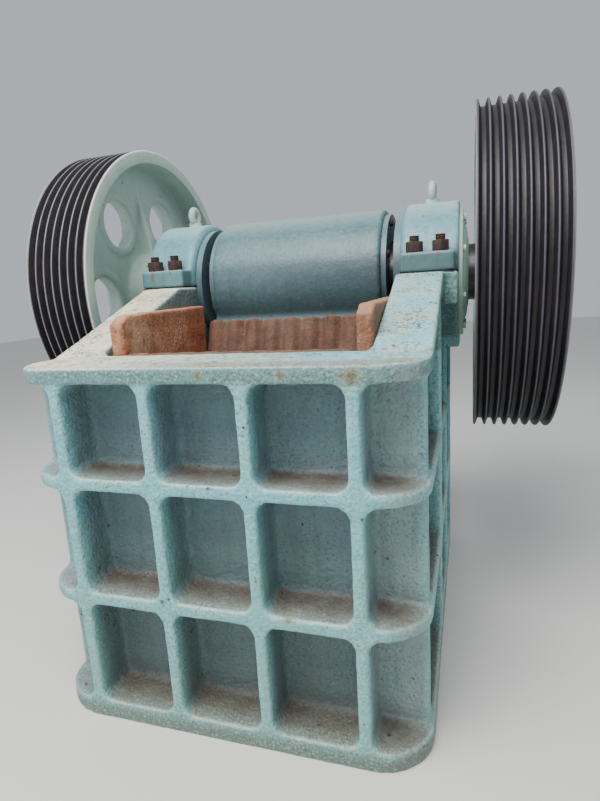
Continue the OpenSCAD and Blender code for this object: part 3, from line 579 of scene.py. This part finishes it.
# Passes that round a casting's edges, and the depth of its wear as a share of its swell
SKIN_PASSES = 3
WEAR_SHARE = 0.9


def moulded(bm, grain_mm):
    """A solid with the soft edges of a sand casting."""
    skin = {"mode": "VOXEL", "voxel_size": grain_mm * MM}
    return with_modifiers(bm, ("REMESH", skin), ("SMOOTH", {"factor": 0.6, "iterations": SKIN_PASSES}))


def swollen(bm, swell_mm, share):
    """The uneven skin that a sand mould leaves, with only a share of its triangles kept."""
    steps = []
    for texture, depth_mm in ((sand_swell, swell_mm), (mould_wear, WEAR_SHARE * swell_mm)):
        push = {"texture": texture, "texture_coords": "LOCAL", "strength": depth_mm * MM, "mid_level": 0.5}
        steps.append(("DISPLACE", push))
    return with_modifiers(bm, *steps, ("DECIMATE", {"ratio": share}))


WALLS = ("front_wall", "side_wall_left", "side_wall_right", "rear_wall", "spring_bracket")
# How far a wall runs into its neighbour, and how near its corners lie to the face they share
WELD = 8 * MM
NEAR = 0.1 * MM
# The ends of the side walls' level ribs lie within this of the front wall
RIB_GAP = 35 * MM
# Grain of the frame's skin, depth of its swell, the share of its triangles kept, and passes for its fillets
WALL_GRAIN_MM = 8
WALL_SWELL_MM = 2.5
WALL_SHARE = 0.32
FILLET_PASSES = 13


def frame_casting():
    """The five walls run together as one casting, with wide fillets at the bottom of every pocket.

    The level ribs of the side walls are run on into the front wall, which they reach in the photograph.
    """
    wall_front, wall_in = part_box("side_wall_right")[0].y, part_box("side_wall_right")[0].x
    rear_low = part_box("rear_wall")[0].z
    walls = []
    for name in WALLS:
        part = welded(name)
        for vert in part.verts:
            reach = NEAR if vert.co.z > FLANGE_TOP - NEAR else RIB_GAP
            if name.startswith("side") and vert.co.y - wall_front < reach:
                vert.co.y = wall_front - WELD
            if name == "rear_wall" and abs(abs(vert.co.x) - wall_in) < NEAR:
                vert.co.x += math.copysign(WELD, vert.co.x)
            if name == "spring_bracket" and abs(vert.co.z - rear_low) < NEAR:
                vert.co.z += WELD
        walls.append(part)
    skin = moulded(joined(*walls), WALL_GRAIN_MM)

    # What lies deep in the pockets, behind the faces of the ribs and under the top flange
    deep_front, deep_side = FRONT + 55 * MM, HALF_WIDTH - 40 * MM
    inner_front, inner_side = wall_front - 20 * MM, wall_in + 25 * MM
    deep_top = FLANGE_TOP - 20 * MM
    deep = [
        v for v in skin.verts
        if v.co.z < deep_top and abs(v.co.x) < deep_side and v.co.y > deep_front
        and (v.co.y < inner_front or abs(v.co.x) > inner_side)
    ]
    for _ in range(FILLET_PASSES):
        bmesh.ops.smooth_vert(skin, verts=deep, factor=0.5,
                              use_axis_x=True, use_axis_y=True, use_axis_z=True)
    made = piece(swollen(skin, WALL_SWELL_MM, WALL_SHARE), "frame_casting", aqua)
    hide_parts(*WALLS)


# The same for the smaller castings
CAST_GRAIN_MM = 7
CAST_SWELL_MM = 1.2
CAST_SHARE = 0.5


def cast_copy(node, finish, body="frame", grain_mm=CAST_GRAIN_MM, swell_mm=CAST_SWELL_MM):
    """A node given the soft edges and skin of a casting, which then stands for it."""
    skin = swollen(moulded(welded(node), grain_mm), swell_mm, CAST_SHARE)
    made = piece(skin, f"{node}_casting", finish, body)
    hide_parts(node)


# The turned rim: how thick it is and bulges inwards, how far the web runs into it, and its rounded crests
RIM_THICKNESS = 52 * MM
RIM_BELLY = 9 * MM
RIM_LAP = 12 * MM
RIM_ROUND = 2.6 * MM
RIM_STEPS = 144
# Where the web runs into the rim, it keeps to this share of the rim's width
WEB_SHARE = 0.97
GROOVES = 7
GROOVE_PITCH = 37 * MM
GROOVE_DEPTH = 26 * MM
# A belt groove's section, as shares of the pitch across and of the depth down
GROOVE_LINE = ((-0.42, 0), (-0.2, 1), (0.2, 1), (0.42, 0))
# Each wheel's corner colour, a painted highlight on the left and rust on the right, then its painted crest
# highlight
RIM_FINISH = {
    "left": greased_rim("left", "#E6ECE4", "#7E7B7E"),
    "right": greased_rim("right", "#5C3C3A", "#504E56"),
}


def flywheel(side):
    """A flywheel: its sand-cast web, fins and hub, and its turned rim with the belt grooves."""
    node = f"flywheel_{side}"
    low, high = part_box(node)
    centre = (low + high) / 2
    half = (high.x - low.x) / 2
    rim_in = WHEEL_RADIUS - RIM_THICKNESS
    web = welded(node)
    web_half = WEB_SHARE * half
    for vert in web.verts:
        out = math.hypot(vert.co.y - centre.y, vert.co.z - centre.z)
        if out > rim_in + RIM_LAP:
            pull = (rim_in + RIM_LAP) / out
            vert.co.y = centre.y + (vert.co.y - centre.y) * pull
            vert.co.z = centre.z + (vert.co.z - centre.z) * pull
        if out > rim_in - RIM_LAP:
            vert.co.x = centre.x + max(-web_half, min(web_half, vert.co.x - centre.x))
    skin = swollen(moulded(web, CAST_GRAIN_MM), CAST_SWELL_MM, CAST_SHARE)
    made = piece(skin, f"{node}_casting", pale_green, "drive")
    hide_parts(node)

    rim = bmesh.new()
    line = [(-half, rim_in), (-half, WHEEL_RADIUS)]
    for i in range(GROOVES):
        middle = (i - (GROOVES - 1) / 2) * GROOVE_PITCH
        line += [(middle + across * GROOVE_PITCH, WHEEL_RADIUS - down * GROOVE_DEPTH)
                 for across, down in GROOVE_LINE]
    line += [(half, WHEEL_RADIUS), (half, rim_in), (0, rim_in - RIM_BELLY)]
    ring = [rim.verts.new((centre.x + x, centre.y, centre.z + r)) for x, r in line]
    for first, second in zip(ring, ring[1:] + ring[:1]):
        rim.edges.new((first, second))
    bmesh.ops.bevel(rim, geom=ring, offset=RIM_ROUND, segments=3, profile=0.5, affect="VERTICES",
                    material=-1)
    bmesh.ops.spin(rim, geom=rim.verts[:] + rim.edges[:], cent=centre, axis=(1, 0, 0), angle=math.tau,
                   steps=RIM_STEPS, use_merge=True)
    bmesh.ops.recalc_face_normals(rim, faces=rim.faces)
    piece(rim, f"{node}_rim", RIM_FINISH[side], "drive", crease=50)


def merged(bm):
    """The same shell with its doubles merged and its faces turned outwards."""
    bmesh.ops.remove_doubles(bm, verts=bm.verts, dist=0.01 * MM)
    bmesh.ops.recalc_face_normals(bm, faces=bm.faces)
    return bm


def turned(line, steps):
    """A piece turned on a lathe about Z, from its outline as radius and height in millimetres."""
    bm = bmesh.new()
    outline = [bm.verts.new((radius * MM, 0, height * MM)) for radius, height in line]
    for first, second in zip(outline, outline[1:]):
        bm.edges.new((first, second))
    bmesh.ops.spin(bm, geom=bm.verts[:] + bm.edges[:], cent=(0, 0, 0), axis=(0, 0, 1), angle=math.tau,
                   steps=steps, use_merge=True)
    return merged(bm)


def thread(radius, low, high, pitch, depth):
    """Outline of a thread up to its chamfered end. The pitch is drawn coarse enough to show."""
    line = []
    for i in range(int((high - low - 2 * depth) / pitch)):
        line += [(radius, low + (i + 0.3) * pitch), (radius - depth, low + (i + 0.8) * pitch)]
    return line + [(radius, high - depth), (radius - depth, high), (0, high)]


def hexagon(flats, low, high):
    """A forged hexagon with its corners chamfered, from one height to the other in millimetres."""
    bm = bmesh.new()
    radius = flats / 2 / math.cos(math.pi / 6) * MM
    chamfer = flats * 0.05 * MM
    bmesh.ops.create_cone(bm, cap_ends=True, segments=6, radius1=radius, radius2=radius,
                          depth=(high - low) * MM)
    bmesh.ops.translate(bm, verts=bm.verts, vec=(0, 0, (low + high) / 2 * MM))
    bmesh.ops.bevel(bm, geom=bm.edges, offset=chamfer, segments=2, profile=0.5, affect="EDGES", material=-1)
    return bm


# Thickness of a washer in millimetres
WASHER = 3


def washer_of(flats):
    """A washer for a bolt head of that width."""
    radius = flats * 0.62
    line = [(0, 0), (radius, 0), (radius, WASHER - 0.6), (radius - 0.8, WASHER), (0, WASHER)]
    return turned(line, steps=24)


def set_out(bm, places):
    """A copy of the fitting at each place, with none left where it was made."""
    first = bm.verts[:] + bm.edges[:] + bm.faces[:]
    for place in places:
        made = bmesh.ops.duplicate(bm, geom=first)["geom"]
        bmesh.ops.transform(bm, matrix=place, verts=[v for v in made if isinstance(v, bmesh.types.BMVert)])
    bmesh.ops.delete(bm, geom=first, context="VERTS")
    return bm


def facing(direction, at, twist=0.0):
    """Place of a fitting that points along a direction from a point."""
    turn = Vector(direction).to_track_quat("Z", "X").to_matrix().to_4x4()
    return Matrix.Translation(at) @ turn @ Matrix.Rotation(math.radians(twist), 4, "Z")


def round_shaft(count, radius_mm, x, start=0.0, centre=SHAFT):
    """Places on a bolt circle round the shaft, on a face at x, pointing away from the middle."""
    places = []
    for i in range(count):
        angle = math.radians(start) + math.tau * i / count
        at = (x, centre.y + radius_mm * MM * math.cos(angle), centre.z + radius_mm * MM * math.sin(angle))
        places.append(facing((math.copysign(1, x), 0, 0), at, i * 17))
    return places


# Cap studs: their places across and along, and their sizes in millimetres, up from the foot of the stud
STUD_IN, STUD_OUT = 484.5 * MM, 575.5 * MM
STUD_ACROSS = 306 * MM
STUD = 18
STUD_WASHER_LOW, NUT_LOW, NUT_HIGH, STUD_TOP = 178, 182, 220, 240
NUT_FLATS = 55


def cap_fastenings():
    """Cap studs with their nuts and washers, each nut turned as the spanner left it."""
    bore, out = STUD + 1, STUD + 14
    washer = turned([(bore, STUD_WASHER_LOW), (out - 1, STUD_WASHER_LOW), (out, STUD_WASHER_LOW + 1),
                     (out, NUT_LOW - 1), (out - 1, NUT_LOW), (bore, NUT_LOW)], steps=24)
    shank = [(0, 0), (STUD, 0), (STUD, NUT_HIGH - 4)]
    stud = turned(shank + thread(STUD, NUT_HIGH - 2, STUD_TOP, pitch=5, depth=2), steps=24)
    fitting = joined(washer, hexagon(NUT_FLATS, NUT_LOW, NUT_HIGH), stud)
    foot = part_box("cap_studs")[0].z
    places = []
    for i, x in enumerate((-STUD_OUT, -STUD_IN, STUD_IN, STUD_OUT)):
        for j, y in enumerate((SHAFT.y - STUD_ACROSS, SHAFT.y + STUD_ACROSS)):
            places.append(facing((0, 0, 1), (x, y, foot), 23 * i + 37 * j))
    made = piece(set_out(fitting, places), "cap_studs_and_nuts", dark_rust, crease=35)
    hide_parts("cap_studs")


COVER_FLANGE = 14 * MM
# Cover bolts, in millimetres: width of the heads, where they begin and end, and radii of the bolt circles
COVER_HEAD, END_HEAD = 24, 36
COVER_HIGH, SWING_HIGH, END_LOW, END_HIGH = 12, 11, -4, 3.5
COVER_CIRCLE, SWING_CIRCLE, END_CIRCLE = 222, 225, 60


def cover_bolts():
    """Bolt heads that hold the cover rings of the main bearings, of the swing jaw and of the shaft ends."""
    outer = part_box("side_wall_right")[1].x + COVER_FLANGE
    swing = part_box("swing_covers")[1].x
    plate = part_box("shaft_end_plates")[1].x
    low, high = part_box("swing_covers")
    eccentric = Vector((0, (low.y + high.y) / 2, (low.z + high.z) / 2))
    places = [p for x in (-outer, outer) for p in round_shaft(8, COVER_CIRCLE, x, start=22.5)]
    heads = joined(washer_of(COVER_HEAD), hexagon(COVER_HEAD, WASHER, COVER_HIGH))
    piece(set_out(heads, places), "outer_cover_bolts", pale_green, crease=35)
    places = [p for x in (-swing, swing) for p in round_shaft(8, SWING_CIRCLE, x, 22.5, eccentric)]
    heads = joined(washer_of(COVER_HEAD), hexagon(COVER_HEAD, WASHER, SWING_HIGH))
    piece(set_out(heads, places), "swing_cover_bolts", dark_rust, "swing", crease=35)
    places = [p for x in (-plate, plate) for p in round_shaft(3, END_CIRCLE, x, start=90)]
    heads = hexagon(END_HEAD, END_LOW, END_HIGH)
    piece(set_out(heads, places), "end_plate_bolts", dark_rust, "drive", crease=35)


# Cheek plate bolts: back from the front of the frame and up from the ground, in millimetres
CHEEK_BOLTS = ((400, 220), (400, 500), (400, 930), (770, 950))
CHEEK_NUT_FLATS, CHEEK_NUT_HIGH = 41, 25
CHEEK_BOLT, CHEEK_END_LOW, CHEEK_END_HIGH = 13, 20, 36
# Outer face of the side walls between their ribs
BOLTED_WALL = 475 * MM


def cheek_bolts():
    """Nuts outside the side walls, on the bolts that hold the cheek plates."""
    end = [(0, CHEEK_END_LOW), (CHEEK_BOLT - 1, CHEEK_END_LOW)]
    end += thread(CHEEK_BOLT, CHEEK_END_LOW + 2, CHEEK_END_HIGH, pitch=5, depth=2)
    flats = hexagon(CHEEK_NUT_FLATS, WASHER, CHEEK_NUT_HIGH)
    nut = joined(washer_of(CHEEK_NUT_FLATS), flats, turned(end, steps=20))
    places = []
    for x in (-BOLTED_WALL, BOLTED_WALL):
        for i, (back, up) in enumerate(CHEEK_BOLTS):
            places.append(facing((math.copysign(1, x), 0, 0), (x, FRONT + back * MM, up * MM), 19 * i))
    piece(set_out(nut, places), "cheek_plate_nuts", dark_rust, crease=35)


# Springs, in millimetres: radius of the bar and of the coil, and rise of a closed end turn
WIRE = 9
COIL = 46
CLOSED_PITCH = 18.4
OPEN_TURNS = 6
COIL_STEPS = 24


def spring_coil(x):
    """A compression spring wound from round bar, with one closed turn at each end."""
    low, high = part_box("springs")
    axis = Vector((x, 0, (low.z + high.z) / 2))
    start, end = low.y + WIRE * MM, high.y - WIRE * MM
    open_pitch = (end - start - 2 * CLOSED_PITCH * MM) / OPEN_TURNS
    bm = bmesh.new()
    ring = bmesh.ops.create_circle(bm, segments=12, radius=WIRE * MM)
    across = Matrix.Translation((x + COIL * MM, start, axis.z))
    bmesh.ops.transform(bm, matrix=across, verts=ring["verts"])
    last = bm.verts[:] + bm.edges[:]
    ends = [bm.edges[:]]
    for turns, pitch in ((1, CLOSED_PITCH * MM), (OPEN_TURNS, open_pitch), (1, CLOSED_PITCH * MM)):
        last = bmesh.ops.spin(bm, geom=last, cent=axis, axis=(0, 1, 0), angle=math.tau * turns,
                              dvec=(0, pitch / COIL_STEPS, 0), steps=COIL_STEPS * turns)["geom_last"]
    ends.append([e for e in last if isinstance(e, bmesh.types.BMEdge)])
    for edges in ends:
        bmesh.ops.contextual_create(bm, geom=edges)
    return merged(bm)


# Tension rods and adjusting screws, in millimetres: the radius of each, and the width and height of its nuts
ROD, ROD_FLATS, ROD_NUT = 19.6, 62, 32
SCREW, SCREW_FLATS, SCREW_NUT = 26, 85, 40
# The gap between the two nuts of a rod, and how deep its threaded end begins inside them
LOCK_GAP, ROD_END = 2, -40
# The screws' nuts in the CAD reach out this many times the screw's radius
NUT_REACH = 1.9


def tension_gear():
    """Springs, nuts and threaded ends of the two tension rods, and the adjusting screws."""
    low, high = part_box("springs")
    rod_x = high.x - (COIL + WIRE) * MM
    made = piece(joined(spring_coil(-rod_x), spring_coil(rod_x)), "spring_coils", black_iron)
    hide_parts("springs")

    low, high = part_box("rod_nuts")
    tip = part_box("tension_rods")[1].y
    height = (low.z + high.z) / 2
    lock_low = ROD_NUT + LOCK_GAP
    nuts = joined(hexagon(ROD_FLATS, 0, ROD_NUT), hexagon(ROD_FLATS, lock_low, lock_low + ROD_NUT))
    places = [facing((0, 1, 0), (x, low.y, height), turn) for x, turn in ((-rod_x, 8), (rod_x, 31))]
    made = piece(set_out(nuts, places), "rod_lock_nuts", dark_rust, crease=35)
    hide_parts("rod_nuts")
    reach = (tip - high.y) / MM
    line = [(0, ROD_END), (ROD, ROD_END)] + thread(ROD, ROD_END + 10, reach, pitch=6, depth=1.6)
    ends = turned(line, steps=28)
    places = [facing((0, 1, 0), (x, high.y, height)) for x in (-rod_x, rod_x)]
    piece(set_out(ends, places), "rod_threads", dark_rust, crease=35)

    low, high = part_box("adjusting_screws")
    screw_x = high.x - SCREW * NUT_REACH * MM
    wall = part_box("rear_wall")[1].y
    height = (low.z + high.z) / 2
    start, reach = (low.y - wall) / MM, (high.y - wall) / MM
    shank = [(0, start), (SCREW, start), (SCREW, SCREW_NUT - 4)]
    screw = turned(shank + thread(SCREW, SCREW_NUT - 2, reach, pitch=7, depth=2.5), steps=28)
    places = [facing((0, 1, 0), (x, wall, height), turn) for x, turn in ((-screw_x, 12), (screw_x, 40))]
    fitting = set_out(joined(hexagon(SCREW_FLATS, 0, SCREW_NUT), screw), places)
    made = piece(fitting, "adjusting_screws_and_nuts", dark_rust, crease=35)
    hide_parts("adjusting_screws")


def cover_rings():
    """Turned covers of the main bearings: a thin bolted flange that domes up to a lip round the shaft."""
    low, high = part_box("outer_covers")
    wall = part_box("side_wall_right")[1].x
    reach = (high.x - wall) / MM
    flange = COVER_FLANGE / MM
    rim = (high.z - low.z) / 2 / MM
    lip = 118
    # Up the bore, over the lip and down the dome to the flange
    line = [(lip, 0), (lip, reach), (lip + 14, reach), (lip + 18, reach - 3), (lip + 36, reach - 4),
            (rim - 76, reach - 8), (rim - 60, flange + 5), (rim - 52, flange), (rim - 3, flange),
            (rim, flange - 3), (rim, 0), (lip, 0)]
    places = [facing((way, 0, 0), (way * wall, SHAFT.y, SHAFT.z)) for way in (-1, 1)]
    rings = set_out(turned(line, steps=72), places)
    made = piece(rings, "cover_rings", pale_green, crease=35)
    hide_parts("outer_covers")


frame_casting()
cover_rings()
for side in ("left", "right"):
    cast_copy(f"bearing_cap_{side}", light_blue, grain_mm=6)
    flywheel(side)
    for level in ("upper", "lower"):
        cast_copy(f"cheek_{level}_{side}", manganese, swell_mm=3)
cast_copy("fixed_jaw_plate", manganese_in_painted_shade, swell_mm=2)
cast_copy("swing_jaw_plate", manganese_in_painted_shade, "swing", swell_mm=2)
cast_copy("swing_jaw", blue_in_painted_shade, "swing", grain_mm=9)
cast_copy("tension_rods", dark_rust, grain_mm=4, swell_mm=0.6)
cap_fastenings()
cover_bolts()
cheek_bolts()
tension_gear()


def camera():
    """The photograph's viewpoint, worked out from the frame's equal rib spacing and the flywheels."""
    focal_px, long_side_px, sensor = 541.4, 801, 36.0
    right = Vector((0.95445678, 0.29250888, -0.05874354))
    down = Vector((0.00612949, -0.21607885, -0.97635668))
    ahead = Vector((-0.29828624, 0.93153019, -0.20803085))
    eye = Vector((0.676, FRONT - 1.189, 1.282))
    data = bpy.data.cameras.new("camera")
    data.sensor_width = sensor
    data.lens = focal_px / long_side_px * sensor
    made = bpy.data.objects.new("camera", data)
    turn = Matrix((right, -down, -ahead)).transposed()
    made.matrix_world = Matrix.Translation(eye) @ turn.to_4x4()
    bpy.context.scene.collection.objects.link(made)
    bpy.context.scene.camera = made


def lamp(name, place, aim, size, power, colour):
    """A soft square lamp that shines from a place towards another."""
    data = bpy.data.lights.new(name, "AREA")
    data.size = size
    data.energy = power
    data.color = paint_hex(colour)[:3]
    made = bpy.data.objects.new(name, data)
    made.location = place
    made.rotation_euler = (Vector(aim) - Vector(place)).to_track_quat("-Z", "Y").to_euler()
    bpy.context.scene.collection.objects.link(made)


def studio():
    """A plain pale floor under soft light that comes mostly from above and in front."""
    bm = bmesh.new()
    bmesh.ops.create_grid(bm, x_segments=1, y_segments=1, size=14)
    floor = keep(bm, "floor")
    made, _, shader, _ = blank("studio_floor_matt_pale", roughness=0.9)
    shader.inputs["Base Color"].default_value = paint_hex("#D9D8D4")
    floor.data.materials.append(made)
    world = bpy.data.worlds.new("studio_air")
    world.use_nodes = True
    world.node_tree.nodes["Background"].inputs["Color"].default_value = paint_hex("#E6ECF2")
    world.node_tree.nodes["Background"].inputs["Strength"].default_value = 0.64
    bpy.context.scene.world = world
    lamp("overhead", (-0.3, -2.3, 4.4), (0, -0.4, 0.7), size=2.4, power=285, colour="#FFFDFA")
    lamp("front_left", (-4.0, -4.0, 2.6), (0, 0, 0.8), size=2.5, power=85, colour="#EEF4FF")
    lamp("behind_right", (4.2, 2.6, 3.6), (0, 0, 1.0), size=2.5, power=35, colour="#EEF4FF")


camera()
studio()
